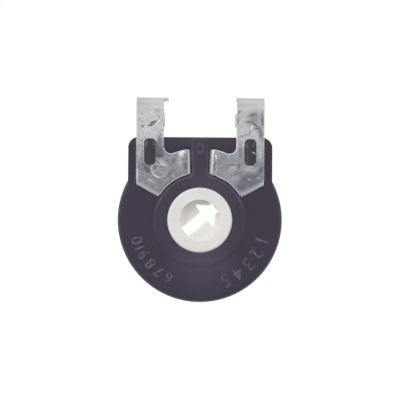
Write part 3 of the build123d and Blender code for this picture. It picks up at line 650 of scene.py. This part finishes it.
# A ridge swells from its ends to its middle, and its section is a low oval
ridge_unit = 1.0 * mm
ridge_height_share = 0.45
swell_power = 0.45
ridge_tree = bpy.data.node_groups.new("tin_ridge", "GeometryNodeTree")
ridge_tree.interface.new_socket("Geometry", in_out="INPUT", socket_type="NodeSocketGeometry")
width_input = ridge_tree.interface.new_socket("Width unit", in_out="INPUT", socket_type="NodeSocketFloat")
height_input = ridge_tree.interface.new_socket("Height share", in_out="INPUT", socket_type="NodeSocketFloat")
ridge_tree.interface.new_socket("Geometry", in_out="OUTPUT", socket_type="NodeSocketGeometry")
given = add_node(ridge_tree, "NodeGroupInput", {})
points = add_node(ridge_tree, "GeometryNodeResampleCurve", {"Curve": given.outputs["Geometry"], "Count": 20})
level = add_node(ridge_tree, "GeometryNodeSetCurveNormal", {"Curve": points.outputs["Curve"]}, mode="Z_UP")
along = add_node(ridge_tree, "GeometryNodeSplineParameter", {})
half_turn = add_node(
    ridge_tree, "ShaderNodeMath", {0: along.outputs["Factor"], 1: math.pi}, operation="MULTIPLY")
swell = add_node(ridge_tree, "ShaderNodeMath", {0: half_turn.outputs["Value"]}, operation="SINE")
taper = add_node(ridge_tree, "ShaderNodeMath", {0: swell.outputs["Value"], 1: swell_power}, operation="POWER")
own_width = add_node(ridge_tree, "GeometryNodeInputRadius", {})
full_width = add_node(
    ridge_tree, "ShaderNodeMath", {0: own_width.outputs["Radius"], 1: given.outputs["Width unit"]},
    operation="MULTIPLY")
width_here = add_node(
    ridge_tree, "ShaderNodeMath", {0: full_width.outputs["Value"], 1: taper.outputs["Value"]},
    operation="MULTIPLY")
circle = add_node(ridge_tree, "GeometryNodeCurvePrimitiveCircle", {"Resolution": 10, "Radius": 0.5})
flatness = add_node(
    ridge_tree, "ShaderNodeCombineXYZ", {"X": 1.0, "Y": given.outputs["Height share"], "Z": 1.0})
section = add_node(
    ridge_tree, "GeometryNodeTransform",
    {"Geometry": circle.outputs["Curve"], "Scale": flatness.outputs["Vector"]})
skin = add_node(
    ridge_tree, "GeometryNodeCurveToMesh",
    {"Curve": level.outputs["Curve"], "Profile Curve": section.outputs["Geometry"],
     "Scale": width_here.outputs["Value"], "Fill Caps": True})
closed = add_node(
    ridge_tree, "GeometryNodeMergeByDistance", {"Geometry": skin.outputs["Mesh"], "Distance": seam_width})
smooth = add_node(ridge_tree, "GeometryNodeSetShadeSmooth", {"Geometry": closed.outputs["Geometry"]})
single = add_node(ridge_tree, "GeometryNodeRealizeInstances", {"Geometry": smooth.outputs["Geometry"]})
finished = add_node(
    ridge_tree, "GeometryNodeSetMaterial", {"Geometry": single.outputs["Geometry"], "Material": bright_tin})
add_node(ridge_tree, "NodeGroupOutput", {"Geometry": finished.outputs["Geometry"]})
ridge_maker = ridge_lines.modifiers.new("tin_ridge", "NODES")
ridge_maker.node_group = ridge_tree
ridge_maker[width_input.identifier] = ridge_unit
ridge_maker[height_input.identifier] = ridge_height_share
bpy.context.view_layer.update()
depsgraph = bpy.context.evaluated_depsgraph_get()
ridge_mesh = bpy.data.meshes.new_from_object(ridge_lines.evaluated_get(depsgraph))
bpy.data.objects.remove(ridge_lines)
tin_ridges = bpy.data.objects.new("tin_ridges", ridge_mesh)
scene.collection.objects.link(tin_ridges)
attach(tin_ridges, "body")


# Edge beads: surface tension draws the molten tin into a thin bead along the upper edges of foot and strip,
# on the side towards the rib. It follows the sheet's own edges, further up the right strip than the left.
# Drawn tin: the same metal, duller and more even than the ridges.
drawn_tin = bright_tin.copy()
drawn_tin.name = "drawn_tin"
drawn_tin.node_tree.nodes[shader.name].inputs["Roughness"].default_value = 0.6
drawn_tin.node_tree.nodes[tin_tone.name].inputs[6].default_value = linear("#b9b7bf")
drawn_ramp = drawn_tin.node_tree.nodes[tone.name].color_ramp
drawn_ramp.elements[0].color = linear("#cccad0")
drawn_ramp.elements[1].color = linear("#e2e0e6")
level_slack = 0.01 * mm
bead_outer_x = 3.9 * mm

# Each bead has a side, an end towards the leg and a width
left_bead = ("left", 6.6 * mm, 0.08 * mm)
right_bead = ("right", 8.0 * mm, 0.11 * mm)
bead_tree = bpy.data.node_groups.new("tin_bead", "GeometryNodeTree")
bead_tree.interface.new_socket("Geometry", in_out="INPUT", socket_type="NodeSocketGeometry")
bead_width_input, bead_level_input, bead_end_input, bead_side_input = [
    bead_tree.interface.new_socket(input_name, in_out="INPUT", socket_type="NodeSocketFloat")
    for input_name in ("Bead width", "Lowest level", "End towards the leg", "Outermost place")]
bead_tree.interface.new_socket("Geometry", in_out="OUTPUT", socket_type="NodeSocketGeometry")
given = add_node(bead_tree, "NodeGroupInput", {})
sheet_mesh = add_node(
    bead_tree, "GeometryNodeMergeByDistance", {"Geometry": given.outputs["Geometry"], "Distance": seam_width})
edge_angle = add_node(bead_tree, "GeometryNodeInputMeshEdgeAngle", {})
sharp = add_node(
    bead_tree, "FunctionNodeCompare", {0: edge_angle.outputs["Unsigned Angle"], 1: sharp_angle},
    data_type="FLOAT", operation="GREATER_THAN")
edge_place = add_node(bead_tree, "GeometryNodeInputPosition", {}).outputs["Position"]
spot = add_node(bead_tree, "ShaderNodeSeparateXYZ", {"Vector": edge_place})
on_top = add_node(
    bead_tree, "FunctionNodeCompare", {0: spot.outputs["Z"], 1: given.outputs["Lowest level"]},
    data_type="FLOAT", operation="GREATER_THAN")
before_leg = add_node(
    bead_tree, "FunctionNodeCompare", {0: spot.outputs["Y"], 1: given.outputs["End towards the leg"]},
    data_type="FLOAT", operation="LESS_THAN")
upper_edge = add_node(
    bead_tree, "FunctionNodeBooleanMath", {0: sharp.outputs["Result"], 1: on_top.outputs["Result"]},
    operation="AND")
off_centre = add_node(bead_tree, "ShaderNodeMath", {0: spot.outputs["X"]}, operation="ABSOLUTE")
inside = add_node(
    bead_tree, "FunctionNodeCompare", {0: off_centre.outputs["Value"], 1: given.outputs["Outermost place"]},
    data_type="FLOAT", operation="LESS_THAN")
inner_edge = add_node(
    bead_tree, "FunctionNodeBooleanMath", {0: before_leg.outputs["Result"], 1: inside.outputs["Result"]},
    operation="AND")
beaded_edge = add_node(
    bead_tree, "FunctionNodeBooleanMath",
    {0: upper_edge.outputs["Boolean"], 1: inner_edge.outputs["Boolean"]}, operation="AND")
edge_lines = add_node(
    bead_tree, "GeometryNodeMeshToCurve",
    {"Mesh": sheet_mesh.outputs["Geometry"], "Selection": beaded_edge.outputs["Boolean"]})
circle = add_node(bead_tree, "GeometryNodeCurvePrimitiveCircle", {"Resolution": 8, "Radius": 0.5})
skin = add_node(
    bead_tree, "GeometryNodeCurveToMesh",
    {"Curve": edge_lines.outputs["Curve"], "Profile Curve": circle.outputs["Curve"],
     "Scale": given.outputs["Bead width"], "Fill Caps": True})
smooth = add_node(bead_tree, "GeometryNodeSetShadeSmooth", {"Geometry": skin.outputs["Mesh"]})
single = add_node(bead_tree, "GeometryNodeRealizeInstances", {"Geometry": smooth.outputs["Geometry"]})
finished = add_node(
    bead_tree, "GeometryNodeSetMaterial", {"Geometry": single.outputs["Geometry"], "Material": drawn_tin})
add_node(bead_tree, "NodeGroupOutput", {"Geometry": finished.outputs["Geometry"]})
for side, bead_end_y, bead_width in (left_bead, right_bead):
    edge_source = bpy.data.objects.new(side + "_edge_source", nodes[side + "_terminal"].data.copy())
    scene.collection.objects.link(edge_source)
    bead_maker = edge_source.modifiers.new("tin_bead", "NODES")
    bead_maker.node_group = bead_tree
    bead_maker[bead_width_input.identifier] = bead_width
    bead_maker[bead_level_input.identifier] = sheet_top_z - level_slack
    bead_maker[bead_end_input.identifier] = bead_end_y
    bead_maker[bead_side_input.identifier] = bead_outer_x
    bpy.context.view_layer.update()
    depsgraph = bpy.context.evaluated_depsgraph_get()
    bead_mesh = bpy.data.meshes.new_from_object(edge_source.evaluated_get(depsgraph))
    bpy.data.objects.remove(edge_source)
    edge_bead = bpy.data.objects.new(side + "_edge_bead", bead_mesh)
    scene.collection.objects.link(edge_bead)
    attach(edge_bead, "body")


# Resistor: a horseshoe of phenolic paper with a printed carbon track and two printed silver pads.
# Nothing of it shows from outside, so each has the plain finish of its own material.
# Phenolic paper: pressed sheet, brown and satin; its fibres of about 0.03 mm are drawn at 0.3 mm to show.
phenolic_paper = bpy.data.materials.new("phenolic_paper")
phenolic_paper.use_nodes = True
tree = phenolic_paper.node_tree
shader = tree.nodes["Principled BSDF"]
place = add_node(tree, "ShaderNodeTexCoord", {}).outputs["Object"]
fibre_size = 0.3 * mm
fibre = add_node(tree, "ShaderNodeTexNoise", {"Vector": place, "Scale": 1 / fibre_size, "Detail": 4.0})
tone = add_node(tree, "ShaderNodeValToRGB", {"Fac": fibre.outputs["Fac"]})
tone.color_ramp.elements[0].color = linear("#5a3a1f")
tone.color_ramp.elements[1].color = linear("#8a6238")
tree.links.new(tone.outputs["Color"], shader.inputs["Base Color"])
shader.inputs["Roughness"].default_value = 0.45
nodes["resistive_substrate"].data.materials.clear()
nodes["resistive_substrate"].data.materials.append(phenolic_paper)

# Carbon ink: screen-printed, near black, with the grain of the screen's mesh
carbon_ink = bpy.data.materials.new("printed_carbon_ink")
carbon_ink.use_nodes = True
tree = carbon_ink.node_tree
shader = tree.nodes["Principled BSDF"]
place = add_node(tree, "ShaderNodeTexCoord", {}).outputs["Object"]
screen_mesh = 0.15 * mm
print_grain = add_node(tree, "ShaderNodeTexNoise", {"Vector": place, "Scale": 1 / screen_mesh, "Detail": 2.0})
tone = add_node(tree, "ShaderNodeValToRGB", {"Fac": print_grain.outputs["Fac"]})
tone.color_ramp.elements[0].color = linear("#141416")
tone.color_ramp.elements[1].color = linear("#2a2a2d")
tree.links.new(tone.outputs["Color"], shader.inputs["Base Color"])
shader.inputs["Roughness"].default_value = 0.4
nodes["carbon_track"].data.materials.clear()
nodes["carbon_track"].data.materials.append(carbon_ink)

# Silver ink: screen-printed, matt grey; its flakes of about 0.01 mm are drawn at 0.1 mm to show
silver_ink = bpy.data.materials.new("printed_silver_ink")
silver_ink.use_nodes = True
tree = silver_ink.node_tree
shader = tree.nodes["Principled BSDF"]
place = add_node(tree, "ShaderNodeTexCoord", {}).outputs["Object"]
flake_size = 0.1 * mm
flakes = add_node(tree, "ShaderNodeTexNoise", {"Vector": place, "Scale": 1 / flake_size, "Detail": 2.0})
tone = add_node(tree, "ShaderNodeValToRGB", {"Fac": flakes.outputs["Fac"]})
tone.color_ramp.elements[0].color = linear("#b9b8b3")
tone.color_ramp.elements[1].color = linear("#d8d7d2")
tree.links.new(tone.outputs["Color"], shader.inputs["Base Color"])
shader.inputs["Metallic"].default_value = 1.0
shader.inputs["Roughness"].default_value = 0.5
nodes["silver_pads"].data.materials.clear()
nodes["silver_pads"].data.materials.append(silver_ink)


# Rotor: a knob that turns in the collar, with a round socket and an arrow-shaped hole through its web.
# It is moulded in off-white polyamide, with a rounded rim.
# Polyamide: satin and a little translucent. The thin web in the socket is painted paler, a painted glow with
# a warm cast.
rotor_moulding = bpy.data.materials.new("off_white_polyamide")
rotor_moulding.use_nodes = True
tree = rotor_moulding.node_tree
shader = tree.nodes["Principled BSDF"]
place = add_node(tree, "ShaderNodeTexCoord", {}).outputs["Object"]
cloud_size = 2.5 * mm
skin_size = 0.1 * mm
skin_depth = 0.02 * mm
cloud = add_node(tree, "ShaderNodeTexNoise", {"Vector": place, "Scale": 1 / cloud_size, "Detail": 2.0})
moulded_skin = add_node(tree, "ShaderNodeTexNoise", {"Vector": place, "Scale": 1 / skin_size, "Detail": 2.0})
tone = add_node(tree, "ShaderNodeValToRGB", {"Fac": cloud.outputs["Fac"]})
tone.color_ramp.elements[0].position = 0.3
tone.color_ramp.elements[0].color = linear("#d0cecb")
tone.color_ramp.elements[1].position = 0.7
tone.color_ramp.elements[1].color = linear("#d6d4d3")

# Painted light in the socket: the web and the socket's wall, told by their depth below the face, are painted
# paler than the face and lightest at the lower right, and the wall is painted pale at the left too
rotor_face_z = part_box("rotor")[1].z
wall_depth = 0.1 * mm
web_depth = 0.7 * mm
light_reach = 1.5 * mm
wall_inner_radius = 1.35 * mm
wall_outer_radius = 1.7 * mm
left_wall_inner_x = -1.35 * mm
left_wall_outer_x = -1.8 * mm
where = add_node(tree, "ShaderNodeSeparateXYZ", {"Vector": place})
web_share = add_node(
    tree, "ShaderNodeMapRange",
    {"Value": where.outputs["Z"], "From Min": rotor_face_z - wall_depth,
     "From Max": rotor_face_z - web_depth})
across = add_node(
    tree, "ShaderNodeMath", {0: where.outputs["X"], 1: where.outputs["Y"]}, operation="SUBTRACT")
lit_share = add_node(
    tree, "ShaderNodeMapRange",
    {"Value": across.outputs["Value"], "From Min": -light_reach, "From Max": light_reach})
web_painted_light_tone = add_node(
    tree, "ShaderNodeMix",
    {0: lit_share.outputs["Result"], 6: linear("#dad7d0"), 7: linear("#e1dfdb")}, data_type="RGBA")
flat_place = add_node(tree, "ShaderNodeVectorMath", {0: place, 1: (1, 1, 0)}, operation="MULTIPLY")
from_axis = add_node(tree, "ShaderNodeVectorMath", {0: flat_place.outputs["Vector"]}, operation="LENGTH")
wall_share = add_node(
    tree, "ShaderNodeMapRange",
    {"Value": from_axis.outputs["Value"], "From Min": wall_inner_radius, "From Max": wall_outer_radius,
     "To Max": lit_share.outputs["Result"]})
lit_wall_tone = add_node(
    tree, "ShaderNodeMix",
    {0: wall_share.outputs["Result"], 6: web_painted_light_tone.outputs[2], 7: linear("#e6e4e0")}, data_type="RGBA")
left_wall_share = add_node(
    tree, "ShaderNodeMapRange",
    {"Value": where.outputs["X"], "From Min": left_wall_inner_x, "From Max": left_wall_outer_x,
     "To Max": 0.9})
left_wall_painted_light_tone = add_node(
    tree, "ShaderNodeMix",
    {0: left_wall_share.outputs["Result"], 6: lit_wall_tone.outputs[2], 7: linear("#fbf9f2")},
    data_type="RGBA")
socket_painted_light_tone = add_node(
    tree, "ShaderNodeMix",
    {0: web_share.outputs["Result"], 6: tone.outputs["Color"], 7: left_wall_painted_light_tone.outputs[2]},
    data_type="RGBA")

# The light runs round the outer rim as on a rounded edge, and the skin's grain of about 0.03 mm is drawn at
# 0.1 mm so that it shows
rim_round = 0.25 * mm
rim_inner_radius = 2.4 * mm
rim_outer_radius = 2.5 * mm
soft_rim = add_node(tree, "ShaderNodeBevel", {"Radius": rim_round}, samples=8)
rim_share = add_node(
    tree, "ShaderNodeMapRange",
    {"Value": from_axis.outputs["Value"], "From Min": rim_inner_radius, "From Max": rim_outer_radius})
plain_normal = add_node(tree, "ShaderNodeNewGeometry", {}).outputs["Normal"]
rim_normal = add_node(
    tree, "ShaderNodeMix", {0: rim_share.outputs["Result"], 4: plain_normal, 5: soft_rim.outputs["Normal"]},
    data_type="VECTOR")
relief = add_node(
    tree, "ShaderNodeBump",
    {"Height": moulded_skin.outputs["Fac"], "Strength": 0.08, "Distance": skin_depth,
     "Normal": rim_normal.outputs[1]})
glow_reach = 0.5 * mm
tree.links.new(socket_painted_light_tone.outputs[2], shader.inputs["Base Color"])
tree.links.new(relief.outputs["Normal"], shader.inputs["Normal"])
shader.inputs["Roughness"].default_value = 0.5
shader.inputs["IOR"].default_value = 1.53
shader.inputs["Subsurface Weight"].default_value = 0.5
shader.inputs["Subsurface Radius"].default_value = (1.0, 0.9, 0.75)
shader.inputs["Subsurface Scale"].default_value = glow_reach
nodes["rotor"].data.materials.clear()
nodes["rotor"].data.materials.append(rotor_moulding)


# Wiper: a spring of rolled bronze strip, staked on two pegs of the rotor, with bent contact fingers.
# Rolled bronze: bright and golden, with a fine grain of about 0.01 mm that is drawn at 0.1 mm to show.
spring_bronze = bpy.data.materials.new("rolled_spring_bronze")
spring_bronze.use_nodes = True
tree = spring_bronze.node_tree
shader = tree.nodes["Principled BSDF"]
place = add_node(tree, "ShaderNodeTexCoord", {}).outputs["Object"]
rolled_grain_size = 0.1 * mm
rolled_grain = add_node(
    tree, "ShaderNodeTexNoise", {"Vector": place, "Scale": 1 / rolled_grain_size, "Detail": 2.0})
tone = add_node(tree, "ShaderNodeValToRGB", {"Fac": rolled_grain.outputs["Fac"]})
tone.color_ramp.elements[0].color = linear("#b98d58")
tone.color_ramp.elements[1].color = linear("#d0a873")
tree.links.new(tone.outputs["Color"], shader.inputs["Base Color"])
shader.inputs["Metallic"].default_value = 1.0
shader.inputs["Roughness"].default_value = 0.3
nodes["wiper"].data.materials.clear()
nodes["wiper"].data.materials.append(spring_bronze)


# Stage: a white light table under the part, so that the ground and the arrow hole read as plain white.
# The light is a pale room with a wide window on either side, and one large soft lamp at the upper left.
floor_mesh = bpy.data.meshes.new("light_table")
floor_half = 0.5
floor_z = cad_box[0][2]
floor_corners = [
    (-floor_half, -floor_half, floor_z), (floor_half, -floor_half, floor_z),
    (floor_half, floor_half, floor_z), (-floor_half, floor_half, floor_z)]
floor_mesh.from_pydata(floor_corners, [], [(0, 1, 2, 3)])
light_table = bpy.data.materials.new("light_table")
light_table.use_nodes = True
shader = light_table.node_tree.nodes["Principled BSDF"]
shader.inputs["Base Color"].default_value = linear("#000000")
shader.inputs["Roughness"].default_value = 1.0
shader.inputs["Specular IOR Level"].default_value = 0.0
shader.inputs["Emission Color"].default_value = linear("#ffffff")
shader.inputs["Emission Strength"].default_value = 1.02
floor_mesh.materials.append(light_table)
floor = bpy.data.objects.new("floor", floor_mesh)
scene.collection.objects.link(floor)

world = bpy.data.worlds.new("pale_room")
scene.world = world
world.use_nodes = True
tree = world.node_tree
direction = add_node(tree, "ShaderNodeTexCoord", {}).outputs["Generated"]
upward = add_node(tree, "ShaderNodeSeparateXYZ", {"Vector": direction})
room = add_node(tree, "ShaderNodeValToRGB", {"Fac": upward.outputs["Z"]})
room.color_ramp.elements[0].position = 0.0
room.color_ramp.elements[0].color = (0.72, 0.72, 0.72, 1)
room.color_ramp.elements[1].position = 0.95
room.color_ramp.elements[1].color = (0.84, 0.84, 0.85, 1)
sideways = add_node(tree, "ShaderNodeMath", {0: upward.outputs["X"]}, operation="ABSOLUTE")
windows = add_node(
    tree, "ShaderNodeMapRange",
    {"Value": sideways.outputs["Value"], "From Min": 0.5, "From Max": 0.95, "To Max": 0.4},
    interpolation_type="SMOOTHSTEP")
lit_room = add_node(
    tree, "ShaderNodeMix", {0: 1.0, 6: room.outputs["Color"], 7: windows.outputs["Result"]},
    data_type="RGBA", blend_type="ADD")
tree.links.new(lit_room.outputs[2], tree.nodes["Background"].inputs["Color"])
tree.nodes["Background"].inputs["Strength"].default_value = 1.0

key = bpy.data.lights.new("key_lamp", "AREA")
key.shape = "DISK"
key.size = 0.22
key.energy = 0.6
key_lamp = bpy.data.objects.new("key_lamp", key)
key_lamp.location = (-0.1, 0.258, 0.26)
key_lamp.rotation_euler = (Vector((0, 0, 0)) - key_lamp.location).to_track_quat("-Z", "Y").to_euler()
scene.collection.objects.link(key_lamp)

# Camera: straight above the face on a long lens, turned a little as in the photograph
view_width = 36.45 * mm
view_centre_x = 0.01 * mm
view_centre_y = 1.83 * mm
view_turn = math.radians(0.45)
camera_data = bpy.data.cameras.new("camera")
camera_data.sensor_width = 36
camera_data.lens = 350
camera_data.clip_start = 0.01
camera = bpy.data.objects.new("camera", camera_data)
camera_z = rotor_face_z + view_width * camera_data.lens / camera_data.sensor_width
camera.location = (view_centre_x, view_centre_y, camera_z)
camera.rotation_euler = (0, 0, view_turn)
scene.collection.objects.link(camera)
scene.camera = camera
scene.view_settings.view_transform = "Standard"
